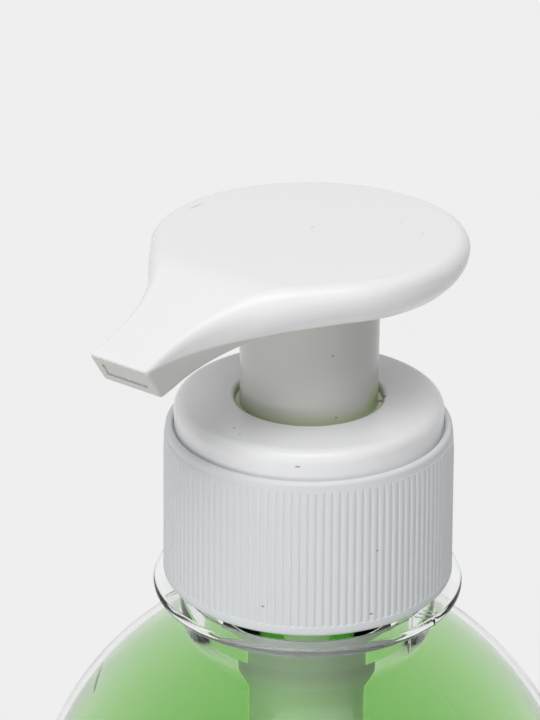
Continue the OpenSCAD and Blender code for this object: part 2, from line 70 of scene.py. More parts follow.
# Bottle and neck
BODY_R = 32.5
BODY_H = 112.0
SHOULDER_R = 35.0
WALL = 0.8
FLOOR_T = 1.5
CORNER_R = 6.0
FOOT_W = 2.5
PUSH_UP = 4.0
FILL_H = 2.0
FINISH_R = 12.55
NECK_R = FINISH_R + 1.05
BORE_R = FINISH_R - 1.7
NECK_FILLET = 1.2
RING_T = 1.1
RING_Z = BODY_H + 6.3
MOUTH_Z = RING_Z + 14.3
SHOULDER_AXIS_R = BODY_R - SHOULDER_R
SHOULDER_Z = BODY_H - math.sqrt(SHOULDER_R ** 2 - (NECK_R - SHOULDER_AXIS_R) ** 2)

# Thread
PITCH = 4.23
THREAD_DEPTH = 1.15
THREAD_W = 1.9
NECK_TURNS = 1.5
CAP_TURNS = 1.25
THREAD_Z = MOUTH_Z - 2.2 - PITCH * NECK_TURNS

# Stack above the mouth
FLANGE_Z = MOUTH_Z + 2 * SEAT_GAP + 1.0
FLANGE_TOP_Z = FLANGE_Z + 1.1
CAP_FLANGE_Z = FLANGE_TOP_Z + SEAT_GAP
CAP_FLANGE_TOP_Z = CAP_FLANGE_Z + 1.05
LIP_Z = CAP_FLANGE_TOP_Z + 0.5

# Screw cap. Its ribs stand half as proud as the solids', to show as faintly as in the photo
CAP_Z = RING_Z + 0.9
CAP_BORE_R = FINISH_R + THREAD_DEPTH + FREE_FIT
CAP_R = CAP_BORE_R + 1.65
RING_R = CAP_R + 1.1
CAP_DRAFT = math.radians(1.15)
RIB_COUNT = 120
RIB_W = 0.6
RIB_H = 0.1
RIB_BAND = 1.1
RIB_TOP = LIP_Z - CAP_Z - 1.0

# Collar and the pump inside it, each radius inside the last
COLLAR_R = CAP_BORE_R + 0.2
COLLAR_T = 1.0
COLLAR_FALL = 0.15
COLLAR_EDGE_R = 1.3
HOLE_EDGE_R = 0.5
DOME_Z = LIP_Z + 3.0
CUP_R = BORE_R - 2 * FREE_FIT
CUP_IN_R = CUP_R - 1.35
WELL_R = CUP_IN_R - FREE_FIT / 3
LOWER_CUP_R = WELL_R - FREE_FIT / 3
HOLE_R = WELL_R - COLLAR_T
SKIRT_R = HOLE_R - 0.55
SKIRT_IN_R = SKIRT_R - 1.0
SLEEVE_R = SKIRT_IN_R - FREE_FIT
SLEEVE_IN_R = SLEEVE_R - 1.0
SOCKET_R = SLEEVE_IN_R - FREE_FIT
STEM_R = SOCKET_R - 1.3 - PRESS_FIT
FOOT_R = CUP_R + FREE_FIT / 2
SKIRT_Z = DOME_Z - 1.8
STROKE = 12.6
WELL_Z = SKIRT_Z - STROKE - 2.2
WELL_FLOOR_T = 1.0
SLEEVE_H = 14.0

# Pump head
PAD_R = 16.2
PAD_T = 4.6
PAD_Z = DOME_Z + 13.5
PAD_LEAN = 2.0
WALL_BOW = 2.1
PAD_EDGE_R = 1.4
SADDLE_EDGE_R = 2.0
TIP_EDGE_R = 0.8
PAD_WALL = 1.4
FLANK_ANGLE = math.radians(38.7)
FLANK_FILLET = 17.0
SPOUT_W = 7.15
SPOUT_LEN = 29.4
BEND_AT = 13.5
BEND_R = 11.0
BEND_ANGLE = math.radians(18)
TIP_CUT = 2.1
TIP_THIN = 1.3
OUTLET_W = 5.0
OUTLET_H = 2.0
CHANNEL_Z = PAD_Z + (PAD_T - OUTLET_H) / 2
SOCKET_LEN = 7.5

# Pump housing and what it holds
HOUSING_T = 0.9
CHAMBER_R = STEM_R + 2.3
BARREL_R = CHAMBER_R + HOUSING_T
CUP_Z = WELL_Z - WELL_FLOOR_T - HOUSING_T - SEAT_GAP
WAIST_Z = CUP_Z - 7.0
CHAMBER_Z = WAIST_Z - 1.4
CHAMBER_FLOOR_Z = CHAMBER_Z - 38.0
BALL_SEAT_R = 2.7
INLET_R = 1.6
BALL_SEAT_Z = CHAMBER_FLOOR_Z - 1.6
TAIL_TOP_Z = BALL_SEAT_Z - 1
TAIL_Z = BALL_SEAT_Z - 9.0
TUBE_R = 2.7
TUBE_T = 0.7
TUBE_Z = FLOOR_T + PUSH_UP + 3.0
TUBE_TOP_Z = BALL_SEAT_Z - 2.0
TAIL_R = TUBE_R + PRESS_FIT + HOUSING_T
COIL_R = CHAMBER_R - 1.6
WIRE_R = 0.4
COIL_TURNS = 9

# Photograph's camera: a close view from the front right, looking down
CAMERA_AZIMUTH = math.radians(37)
CAMERA_BACK = 196.4
CAMERA_Z = 109.8 + CAP_Z
CAMERA_PITCH = math.radians(23.62)
CAMERA_YAW = math.radians(1.19)
FOCAL_PX = 2060.0
FRAME_H_PX = 720
SENSOR_MM = 36.0

# Detail of the meshes: edges stay sharp above an angle, and steps are those round a turn
SHARP = math.radians(38)
RIB_SHARP = math.radians(60)
WIDE_STEPS = 240
HOUSING_STEPS = 160
HOLLOW_STEPS = 128
NARROW_STEPS = 96

# Surroundings
BACKGROUND = 0.863
SKY_LIGHT = 0.38

# Colours of the marks
BROWN_SPECK = (0.25, 0.1, 0.04)
GREY_SPECK = (0.3, 0.3, 0.3)
OLIVE_SPECK = (0.3, 0.3, 0.28)
SCRATCH = (0.78, 0.78, 0.79)


# Meshes

def new_object(name, data):
    """An object of the scene."""
    thing = bpy.data.objects.new(name, data)
    bpy.context.collection.objects.link(thing)
    return thing


def arc(centre, radius, start, end, steps):
    """Points on an arc in a half section, angles in degrees."""
    angles = [math.radians(start + (end - start) * i / steps) for i in range(steps + 1)]
    return [(centre[0] + radius * math.cos(a), centre[1] + radius * math.sin(a)) for a in angles]


def mesh_object(name, points, faces, sharp=SHARP):
    """A closed, smooth-shaded piece from points in millimetres."""
    mesh = bpy.data.meshes.new(name)
    bm = bmesh.new()
    verts = [bm.verts.new(Vector(p) * MM) for p in points]
    for face in faces:
        bm.faces.new([verts[i] for i in face])
    bmesh.ops.remove_doubles(bm, verts=bm.verts, dist=1e-7)
    bmesh.ops.recalc_face_normals(bm, faces=bm.faces)
    shade(bm, sharp)
    bm.to_mesh(mesh)
    bm.free()
    return new_object(name, mesh)


def shade(bm, sharp):
    """Smooth faces, with edges kept sharp above an angle and where a much larger face begins."""
    flat_share = 30
    for face in bm.faces:
        face.smooth = True
    for edge in bm.edges:
        areas = sorted(face.calc_area() for face in edge.link_faces)
        flat = len(areas) == 2 and areas[1] > flat_share * areas[0]
        edge.smooth = edge.calc_face_angle(0) < sharp and not flat


def lathe(name, section, steps=180, extra=()):
    """A piece turned about the axis from a closed half section of (radius, height). Extra
    columns, given by their angles, stand between the even ones."""
    angles = sorted([2 * math.pi * i / steps for i in range(steps)] + list(extra))
    steps = len(angles)
    points = []
    rings = []
    for r, z in section:
        if r < 1e-6:
            rings.append([len(points)] * steps)
            points.append((0, 0, z))
        else:
            first = len(points)
            rings.append([first + i for i in range(steps)])
            points += [(r * math.cos(a), r * math.sin(a), z) for a in angles]
    faces = []
    for k, low in enumerate(rings):
        high = rings[(k + 1) % len(rings)]
        for i in range(steps):
            j = (i + 1) % steps
            corners = list(dict.fromkeys([low[i], low[j], high[j], high[i]]))
            if len(corners) > 2:
                faces.append(corners)
    return mesh_object(name, points, faces)


def skin(name, rings, sharp=SHARP):
    """A closed piece through rings of points, with flat ends."""
    n = len(rings[0])
    points = [p for ring in rings for p in ring]
    faces = [list(range(n)), list(range(len(points) - n, len(points)))]
    for k in range(len(rings) - 1):
        for i in range(n):
            j = (i + 1) % n
            faces.append([k * n + i, k * n + j, (k + 1) * n + j, (k + 1) * n + i])
    return mesh_object(name, points, faces, sharp)


def cut(piece, tool):
    """Takes the tool's shape out of the piece and deletes the tool."""
    modifier = piece.modifiers.new("cut", "BOOLEAN")
    modifier.operation = "DIFFERENCE"
    modifier.solver = "EXACT"
    modifier.object = tool
    settle(piece)
    bpy.data.objects.remove(tool)


def settle(piece, sharp=SHARP):
    """Makes the piece's modifiers part of its mesh."""
    graph = bpy.context.evaluated_depsgraph_get()
    mesh = bpy.data.meshes.new_from_object(piece.evaluated_get(graph))
    piece.modifiers.clear()
    piece.data = mesh
    bm = bmesh.new()
    bm.from_mesh(mesh)
    shade(bm, sharp)
    bm.to_mesh(mesh)
    bm.free()


def box_piece(name, low, high):
    """A plain block, used only to cut with."""
    flat = ((low[0], low[1]), (high[0], low[1]), (high[0], high[1]), (low[0], high[1]))
    return skin(name, [[(x, y, z) for x, y in flat] for z in (low[2], high[2])])


def thread(name, foot, crest, start_z, start_turn, turns):
    """A right-hand thread whose ends fade out."""
    steps = 72
    fade = steps / 12
    least = 0.2
    end_share = 0.4
    crest_share = 0.55
    count = round(turns * steps)
    rings = []
    for i in range(count + 1):
        angle = 2 * math.pi * (start_turn + i / steps)
        z = start_z + PITCH * i / steps
        full = min(1, (min(i, count - i) + least) / fade)
        r = foot + (crest - foot) * full
        w = THREAD_W * (end_share + (1 - end_share) * full) / 2
        section = [(foot, -w), (foot, w), (r, w * crest_share), (r, -w * crest_share)]
        rings.append([(q * math.cos(angle), q * math.sin(angle), z + h) for q, h in section])
    return skin(name, rings)


def join(name, *pieces):
    """Several pieces of one moulding as one piece."""
    mesh = bpy.data.meshes.new(name)
    bm = bmesh.new()
    for piece in pieces:
        bm.from_mesh(piece.data)
    bm.to_mesh(mesh)
    bm.free()
    for piece in pieces:
        bpy.data.objects.remove(piece)
    return new_object(name, mesh)


# Materials

def fill(node, **values):
    """Sets a node's inputs. In their names, _ stands for a space."""
    for name, value in values.items():
        node.inputs[name.replace("_", " ")].default_value = value


def add(tree, kind, operation=None, **values):
    """A new node with its operation and its inputs' values."""
    node = tree.nodes.new(kind)
    if operation:
        node.operation = operation
    fill(node, **values)
    return node


def grey(level):
    """An opaque neutral colour."""
    return (level, level, level, 1)


def node_material(name):
    """A material with an empty tree, and the shader that feeds its output."""
    material = bpy.data.materials.new(name)
    material.use_nodes = True
    tree = material.node_tree
    tree.nodes.clear()
    shader = add(tree, "ShaderNodeBsdfPrincipled")
    output = add(tree, "ShaderNodeOutputMaterial")
    tree.links.new(shader.outputs["BSDF"], output.inputs["Surface"])
    return material, tree, shader, output


def node_group(name, kind, inputs, outputs):
    """An empty group with its sockets, each a name and a type, and the nodes at its ends."""
    group = bpy.data.node_groups.new(name, kind)
    for in_out, sockets in (("INPUT", inputs), ("OUTPUT", outputs)):
        for socket, socket_type in sockets:
            group.interface.new_socket(name=socket, in_out=in_out, socket_type=socket_type)
    return group, add(group, "NodeGroupInput"), add(group, "NodeGroupOutput")


def moulded_group():
    """Surface of moulded plastic: a faint mottling of colour and gloss, and a very low ripple."""
    gloss_spread = 0.06
    fine_share = 0.15
    group, given, result = node_group(
        "moulded surface", "ShaderNodeTree",
        (("Colour", "NodeSocketColor"), ("Shade", "NodeSocketColor"),
         ("Scale", "NodeSocketFloat"), ("Gloss", "NodeSocketFloat")),
        (("Colour", "NodeSocketColor"), ("Roughness", "NodeSocketFloat"),
         ("Height", "NodeSocketFloat")))
    link = group.links.new
    place = add(group, "ShaderNodeTexCoord")
    broad = add(group, "ShaderNodeTexNoise", Detail=3)
    fine = add(group, "ShaderNodeTexNoise", Detail=2, Scale=2600)
    link(place.outputs["Object"], broad.inputs["Vector"])
    link(place.outputs["Object"], fine.inputs["Vector"])
    link(given.outputs["Scale"], broad.inputs["Scale"])
    mix = add(group, "ShaderNodeMix")
    mix.data_type = "RGBA"
    link(broad.outputs["Fac"], mix.inputs["Factor"])
    link(given.outputs["Shade"], mix.inputs["A"])
    link(given.outputs["Colour"], mix.inputs["B"])
    link(mix.outputs["Result"], result.inputs["Colour"])
    gloss = add(group, "ShaderNodeMath", "MULTIPLY_ADD")
    gloss.inputs[1].default_value = gloss_spread
    link(broad.outputs["Fac"], gloss.inputs[0])
    link(given.outputs["Gloss"], gloss.inputs[2])
    link(gloss.outputs["Value"], result.inputs["Roughness"])
    height = add(group, "ShaderNodeMath", "MULTIPLY_ADD")
    height.inputs[1].default_value = fine_share
    link(fine.outputs["Fac"], height.inputs[0])
    link(broad.outputs["Fac"], height.inputs[2])
    link(height.outputs["Value"], result.inputs["Height"])
    return group


def speck_group():
    """Mask of one small mark: an ellipsoid at a place, turned about Z, with a soft edge."""
    group, given, result = node_group(
        "speck", "ShaderNodeTree",
        (("Centre", "NodeSocketVector"), ("Turn", "NodeSocketFloat"),
         ("Reach", "NodeSocketVector")),
        (("Mask", "NodeSocketFloat"),))
    link = group.links.new
    place = add(group, "ShaderNodeTexCoord")
    offset = add(group, "ShaderNodeVectorMath", "SUBTRACT")
    turned = add(group, "ShaderNodeVectorRotate")
    turned.rotation_type = "Z_AXIS"
    shares = add(group, "ShaderNodeVectorMath", "DIVIDE")
    length = add(group, "ShaderNodeVectorMath", "LENGTH")
    mask = add(group, "ShaderNodeMapRange", From_Min=1.0, From_Max=0.5)
    link(place.outputs["Object"], offset.inputs[0])
    link(given.outputs["Centre"], offset.inputs[1])
    link(offset.outputs["Vector"], turned.inputs["Vector"])
    link(given.outputs["Turn"], turned.inputs["Angle"])
    link(turned.outputs["Vector"], shares.inputs[0])
    link(given.outputs["Reach"], shares.inputs[1])
    link(shares.outputs["Vector"], length.inputs[0])
    link(length.outputs["Value"], mask.inputs["Value"])
    link(mask.outputs["Result"], result.inputs["Mask"])
    return group


MOULDED = moulded_group()
SPECK = speck_group()


def stain(tree, shader, mask, colour):
    """Lays a colour over the material's own where the mask is one."""
    mix = add(tree, "ShaderNodeMix")
    mix.data_type = "RGBA"
    under = shader.inputs["Base Color"].links[0].from_socket
    tree.links.new(under, mix.inputs["A"])
    mix.inputs["B"].default_value = (*colour, 1)
    tree.links.new(mask, mix.inputs["Factor"])
    tree.links.new(mix.outputs["Result"], shader.inputs["Base Color"])


def specks(tree, shader, marks):
    """Small marks, each a colour, a centre, a turn in degrees and a reach, in millimetres."""
    for colour, centre, turn_deg, reach in marks:
        speck = add(tree, "ShaderNodeGroup")
        speck.node_tree = SPECK
        fill(speck, Centre=Vector(centre) * MM, Turn=-math.radians(turn_deg),
             Reach=Vector(reach) * MM)
        stain(tree, shader, speck.outputs["Mask"], colour)


def reach_mask(tree, radial, none, full, most):
    """Mask that grows, from where there is none to where it is full, with the height or with
    the distance from the axis."""
    place = add(tree, "ShaderNodeTexCoord")
    parts = add(tree, "ShaderNodeSeparateXYZ")
    ramp = add(tree, "ShaderNodeMapRange", From_Min=none * MM, From_Max=full * MM, To_Max=most)
    tree.links.new(place.outputs["Object"], parts.inputs["Vector"])
    if radial:
        flat = add(tree, "ShaderNodeCombineXYZ")
        length = add(tree, "ShaderNodeVectorMath", "LENGTH")
        tree.links.new(parts.outputs["X"], flat.inputs["X"])
        tree.links.new(parts.outputs["Y"], flat.inputs["Y"])
        tree.links.new(flat.outputs["Vector"], length.inputs[0])
        tree.links.new(length.outputs["Value"], ramp.inputs["Value"])
    else:
        tree.links.new(parts.outputs["Z"], ramp.inputs["Value"])
    return ramp.outputs["Result"]


def light_through(tree, shader, output, tint):
    """Lets light fall through a clear part onto what stands behind it."""
    rays = add(tree, "ShaderNodeLightPath")
    clear = add(tree, "ShaderNodeBsdfTransparent", Color=(*tint, 1))
    mix = add(tree, "ShaderNodeMixShader")
    tree.links.new(rays.outputs["Is Shadow Ray"], mix.inputs["Fac"])
    tree.links.new(shader.outputs["BSDF"], mix.inputs[1])
    tree.links.new(clear.outputs["BSDF"], mix.inputs[2])
    tree.links.new(mix.outputs["Shader"], output.inputs["Surface"])


def moulded_plastic(name, colour, shade_colour, roughness, scale=90.0, ripple=0.02):
    """Glossy moulded plastic with the shared surface."""
    material, tree, shader, _ = node_material(name)
    surface = add(tree, "ShaderNodeGroup")
    surface.node_tree = MOULDED
    fill(surface, Colour=(*colour, 1), Shade=(*shade_colour, 1), Scale=scale, Gloss=roughness)
    bump = add(tree, "ShaderNodeBump", Strength=ripple, Distance=0.0004)
    tree.links.new(surface.outputs["Colour"], shader.inputs["Base Color"])
    tree.links.new(surface.outputs["Roughness"], shader.inputs["Roughness"])
    tree.links.new(surface.outputs["Height"], bump.inputs["Height"])
    tree.links.new(bump.outputs["Normal"], shader.inputs["Normal"])
    fill(shader, IOR=1.49)
    return material, tree, shader


def clear_plastic():
    """Thick clear plastic of the bottle, with very low waves. Its refraction is set lower than the
    real one, with which the sides of the filled bottle render dark."""
    material, tree, shader, output = node_material("clear_bottle")
    light_through(tree, shader, output, (0.93, 0.95, 0.93))
    fill(shader, Base_Color=(0.985, 1.0, 0.99, 1), Roughness=0.015, IOR=1.27,
         Transmission_Weight=1.0)
    place = add(tree, "ShaderNodeTexCoord")
    waves = add(tree, "ShaderNodeTexNoise", Scale=60, Detail=1)
    bump = add(tree, "ShaderNodeBump", Strength=0.12, Distance=0.0006)
    tree.links.new(place.outputs["Object"], waves.inputs["Vector"])
    tree.links.new(waves.outputs["Fac"], bump.inputs["Height"])
    tree.links.new(bump.outputs["Normal"], shader.inputs["Normal"])
    return material


def soap_liquid():
    """Clear green soap that deepens in colour with its depth, its refraction set low too."""
    material, tree, shader, output = node_material("green_soap")
    fill(shader, Base_Color=grey(1), Roughness=0.0, IOR=1.03, Transmission_Weight=1.0)
    depth = add(tree, "ShaderNodeVolumeAbsorption", Color=(0.34, 0.72, 0.1, 1), Density=42)
    light_through(tree, shader, output, (0.86, 0.94, 0.8))
    tree.links.new(depth.outputs["Volume"], output.inputs["Volume"])
    return material


def frosted_plastic(name, colour, through, roughness=0.35):
    """Unpigmented plastic that lets some light through."""
    shade_share = 0.94
    shade_colour = tuple(c * shade_share for c in colour)
    material, _, shader = moulded_plastic(name, colour, shade_colour, roughness)
    fill(shader, Transmission_Weight=through)
    return material


def spring_wire():
    """Drawn steel wire."""
    material, tree, shader, _ = node_material("spring_wire")
    place = add(tree, "ShaderNodeTexCoord")
    streaks = add(tree, "ShaderNodeTexNoise", Scale=900)
    ramp = add(tree, "ShaderNodeMapRange", To_Min=0.22, To_Max=0.4)
    tree.links.new(place.outputs["Object"], streaks.inputs["Vector"])
    tree.links.new(streaks.outputs["Fac"], ramp.inputs["Value"])
    tree.links.new(ramp.outputs["Result"], shader.inputs["Roughness"])
    fill(shader, Base_Color=(0.62, 0.63, 0.65, 1), Metallic=1.0)
    return material


# Pump head

def pad_outline():
    """Half of the pad and spout seen flat, from the tip to the back: distance along the
    spout, half width, outward angle, share of the wall's lean and radius of the top edge."""
    spout_steps, turn_steps, flank_steps, disc_steps = 12, 30, 15, 84
    tip_w = SPOUT_W / 2
    touch_a = math.pi / 2 - FLANK_ANGLE
    touch = (PAD_R * math.cos(touch_a), PAD_R * math.sin(touch_a))
    turn_w = tip_w + FLANK_FILLET * (1 - math.cos(FLANK_ANGLE))
    turn_s = touch[0] + (touch[1] - turn_w) / math.tan(FLANK_ANGLE)
    end_s = turn_s + FLANK_FILLET * math.sin(FLANK_ANGLE)
    outline = []
    for i in range(spout_steps):
        t = i / spout_steps
        outline.append((SPOUT_LEN + (end_s - SPOUT_LEN) * t, tip_w, math.pi / 2, 0.0,
                        TIP_EDGE_R))
    for i in range(turn_steps + 1):
        t = i / turn_steps
        a = FLANK_ANGLE * t
        outline.append((end_s - FLANK_FILLET * math.sin(a),
                        tip_w + FLANK_FILLET * (1 - math.cos(a)), math.pi / 2 - a, t / 2,
                        TIP_EDGE_R + (SADDLE_EDGE_R - TIP_EDGE_R) * t))
    for i in range(1, flank_steps):
        t = i / flank_steps
        outline.append((turn_s + (touch[0] - turn_s) * t, turn_w + (touch[1] - turn_w) * t,
                        touch_a, (1 + t) / 2,
                        SADDLE_EDGE_R + (PAD_EDGE_R - SADDLE_EDGE_R) * t))
    for i in range(disc_steps + 1):
        a = touch_a + (math.pi - touch_a) * i / disc_steps
        outline.append((PAD_R * math.cos(a), PAD_R * math.sin(a), a, 1.0, PAD_EDGE_R))
    return outline


def drop(along):
    """How far the top of the spout has come down: a bend, then a straight slope."""
    x = max(0.0, along - BEND_AT)
    run = BEND_R * math.sin(BEND_ANGLE)
    if x < run:
        return BEND_R - math.sqrt(BEND_R ** 2 - x * x)
    return BEND_R * (1 - math.cos(BEND_ANGLE)) + (x - run) * math.tan(BEND_ANGLE)


def bent(along, across, z):
    """Brings a flat point of the head down along the spout. Towards the tip the underside
    stands back and comes nearer to the top."""
    share = max(0.0, along - BEND_AT) / (SPOUT_LEN - BEND_AT)
    below = 1 - (z - PAD_Z) / PAD_T
    return (across, TIP_CUT * share * below - along,
            z - drop(along) + TIP_THIN * share * share * below)


def pad_shell():
    """The finger pad and spout as one loft with a bowed wall and a rounded top edge."""
    foot_in = 0.3
    foot_share = 0.08
    foot_at_spout, edge_at_spout = 0.5, 0.6
    tip_round = 0.3
    round_steps = 4
    edge_steps = 12
    min_step = 0.05
    # Levels: share of the wall's height, then degrees round the top edge
    levels = [(t, 0) for t in (0, 0.015, 0.04, 0.08, 0.15, 0.25, 0.35, 0.45, 0.55, 0.7, 0.85)]
    levels += [(1, 90 / edge_steps * i) for i in range(edge_steps + 1)]
    half = pad_outline()
    # The first columns step in, which rounds the edges of the end face. The outline's own
    # columns begin behind the last of them, so that the mesh doesn't fold
    columns = []
    for i in range(round_steps + 1):
        a = math.pi / 2 * i / round_steps
        columns.append((SPOUT_LEN - tip_round * (1 - math.cos(a)), *half[0][1:],
                        tip_round * (1 - math.sin(a))))
    columns += [(*q, 0.0) for q in half if q[0] < SPOUT_LEN - tip_round - min_step]

    def place(q, level, side):
        s, width, angle, share, edge, step_in = q
        t, turn = level[0], math.radians(level[1])
        height = (PAD_T - edge) * t + edge * math.sin(turn)
        foot = foot_in * max(0.0, 1 - t / foot_share) ** 2
        edge_share = edge_at_spout + (1 - edge_at_spout) * share
        inset = PAD_LEAN * (1 - t) ** WALL_BOW * share
        inset += foot * (foot_at_spout + (1 - foot_at_spout) * share)
        inset += edge * (1 - math.cos(turn)) * edge_share + step_in
        height = step_in + height * (PAD_T - 2 * step_in) / PAD_T
        along = s - (inset * math.cos(angle) if abs(angle - math.pi / 2) > 1e-6 else 0)
        across = max(0.0, width - inset * math.sin(angle))
        return bent(along, side * across, PAD_Z + height)

    n = len(columns)
    ring = 2 * n - 1
    points = []
    for level in levels:
        points += [place(q, level, 1) for q in columns]
        points += [place(q, level, -1) for q in reversed(columns[:-1])]
    faces = []
    for j in range(len(levels) - 1):
        for i in range(j * ring, (j + 1) * ring - 1):
            faces.append([i, i + ring, i + ring + 1, i + 1])
    for base in (0, (len(levels) - 1) * ring):
        for i in range(n - 2):
            faces.append([base + i, base + i + 1, base + ring - 2 - i, base + ring - 1 - i])
        faces.append([base + n - 2, base + n - 1, base + n])
    faces.append([j * ring for j in range(len(levels))]
                 + [j * ring + ring - 1 for j in range(len(levels) - 1, -1, -1)])
    return mesh_object("pad_shell", points, faces)


def spout_bar(name, stations, half, low, high):
    """A bar that follows the spout's bend, with its heights over the passage's floor."""
    corners = ((-half, low), (half, low), (half, high), (-half, high))
    return skin(name, [[bent(s, x, CHANNEL_Z + h) for x, h in corners] for s in stations])


def head_channel():
    """The passage from the stem, along the spout and out at the tip."""
    steps = 16
    start = -STEM_R * 0.6
    past_tip = 1.0
    reach = SPOUT_LEN + past_tip - BEND_AT
    stations = [start] + [BEND_AT + reach * i / steps for i in range(steps + 1)]
    return spout_bar("head_channel", stations, OUTLET_W / 2, 0, OUTLET_H)


def dried_soap():
    """Dried soap that closes the outlet a little behind the spout's end face."""
    front, back = SPOUT_LEN - 0.15, SPOUT_LEN - 1.5
    bite = 0.04
    overlay = spout_bar("dried_soap", (back, front), OUTLET_W / 2 + bite, -bite, OUTLET_H + bite)
    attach(overlay, "head")
    return overlay


def tube_section(inner, outer, low, high, edge=0.0):
    """Half section of a tube, with small chamfers at its four edges."""
    if not edge:
        return [(inner, low), (outer, low), (outer, high), (inner, high)]
    return [(inner, low + edge), (inner + edge, low), (outer - edge, low), (outer, low + edge),
            (outer, high - edge), (outer - edge, high), (inner + edge, high), (inner, high - edge)]


def pump_head():
    """Pad, spout, sliding skirt and stem socket."""
    root = PAD_Z + 0.9
    joint_z = root - 0.2
    below = PAD_Z - 1
    bore_top = CHANNEL_Z + 0.1
    roof = 1.3 * PAD_WALL
    rail = OUTLET_W / 2 + PAD_WALL
    rail_over = 3
    skirt_edge, socket_edge = 0.15, 0.1
    stem_bore = STEM_R + PRESS_FIT
    shell = pad_shell()
    hollow = lathe("hollow", tube_section(SKIRT_R + PAD_WALL, PAD_R - PAD_LEAN - PAD_WALL,
                                          below, PAD_Z + PAD_T - roof), HOLLOW_STEPS)
    cut(hollow, box_piece("rail", (-rail, -2 * PAD_R, PAD_Z - rail_over),
                          (rail, 0, PAD_Z + PAD_T + rail_over)))
    cut(shell, hollow)
    cut(shell, lathe("under_skirt", tube_section(SOCKET_R, SKIRT_IN_R, below, root - 0.1),
                     NARROW_STEPS))
    cut(shell, lathe("socket_bore", [(0, below), (stem_bore, below), (stem_bore, bore_top),
                                     (0, bore_top)], NARROW_STEPS))
    cut(shell, head_channel())
    skirt = lathe("skirt", tube_section(SKIRT_IN_R, SKIRT_R, SKIRT_Z, joint_z, skirt_edge))
    socket = lathe("socket", tube_section(stem_bore, SOCKET_R, PAD_Z - SOCKET_LEN, joint_z,
                                          socket_edge), NARROW_STEPS)
    head = join("pump_head_shell", shell, skirt, socket)
    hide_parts("pump_head")
    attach(head, "head")
    return head


# Cap and collar

def cap_wall_r(z):
    """Outside radius of the cap's wall over its ribs, at a height above its bottom edge."""
    return CAP_R - z * math.tan(CAP_DRAFT)


def rib_mesh():
    """One rounded rib at the +X side of the cap, rooted in the wall, that fades at its top."""
    root = 0.2
    sunk = 0.01
    fullness = 0.8
    sides = 6
    # Stations: height over the cap's edge, then share of the full rib
    stations = [(RIB_BAND - 0.1, 1.0), (RIB_TOP * 0.5, 1.0), (RIB_TOP - 2.2, 1.0),
                (RIB_TOP - 1.2, 0.75), (RIB_TOP - 0.5, 0.35), (RIB_TOP, 0.0)]
    rings = []
    for z, full in stations:
        foot = cap_wall_r(z) - RIB_H - sunk
        ring = []
        for k in range(sides + 1):
            a = math.pi * k / sides
            ring.append((foot + RIB_H * full * math.sin(a) ** fullness,
                         RIB_W / 2 * math.cos(a), CAP_Z + z))
        ring.append((foot - root, -RIB_W / 2, CAP_Z + z))
        ring.append((foot - root, RIB_W / 2, CAP_Z + z))
        rings.append(ring)
    return skin("grip_rib", rings, RIB_SHARP)


def ribs_round_cap(rib, finish_material):
    """The ribs repeated round the cap by Geometry Nodes and made a plain mesh."""
    tree, given, result = node_group(
        "ribs round the cap", "GeometryNodeTree",
        (("Rib", "NodeSocketObject"), ("Count", "NodeSocketInt"),
         ("Finish", "NodeSocketMaterial")),
        (("Geometry", "NodeSocketGeometry"),))
    link = tree.links.new
    line = add(tree, "GeometryNodeMeshLine", Offset=(0, 0, 0))
    rib_info = add(tree, "GeometryNodeObjectInfo", As_Instance=True)
    number = add(tree, "GeometryNodeInputIndex")
    step = add(tree, "ShaderNodeMath", "DIVIDE")
    step.inputs[0].default_value = 2 * math.pi
    turn = add(tree, "ShaderNodeMath", "MULTIPLY")
    angles = add(tree, "ShaderNodeCombineXYZ")
    spread = add(tree, "GeometryNodeInstanceOnPoints")
    real = add(tree, "GeometryNodeRealizeInstances")
    finish = add(tree, "GeometryNodeSetMaterial")
    link(given.outputs["Count"], line.inputs["Count"])
    link(given.outputs["Rib"], rib_info.inputs["Object"])
    link(given.outputs["Count"], step.inputs[1])
    link(number.outputs["Index"], turn.inputs[0])
    link(step.outputs["Value"], turn.inputs[1])
    link(turn.outputs["Value"], angles.inputs["Z"])
    link(line.outputs["Mesh"], spread.inputs["Points"])
    link(rib_info.outputs["Geometry"], spread.inputs["Instance"])
    link(angles.outputs["Vector"], spread.inputs["Rotation"])
    link(spread.outputs["Instances"], real.inputs["Geometry"])
    link(real.outputs["Geometry"], finish.inputs["Geometry"])
    link(given.outputs["Finish"], finish.inputs["Material"])
    link(finish.outputs["Geometry"], result.inputs["Geometry"])
    host = new_object("cap_ribs", bpy.data.meshes.new("cap_ribs"))
    modifier = host.modifiers.new("ribs", "NODES")
    modifier.node_group = tree
    values = {"Rib": rib, "Count": RIB_COUNT, "Finish": finish_material}
    for item in tree.interface.items_tree:
        if item.in_out == "INPUT":
            modifier[item.identifier] = values[item.name]
    settle(host, RIB_SHARP)
    bpy.data.objects.remove(rib)
    return host


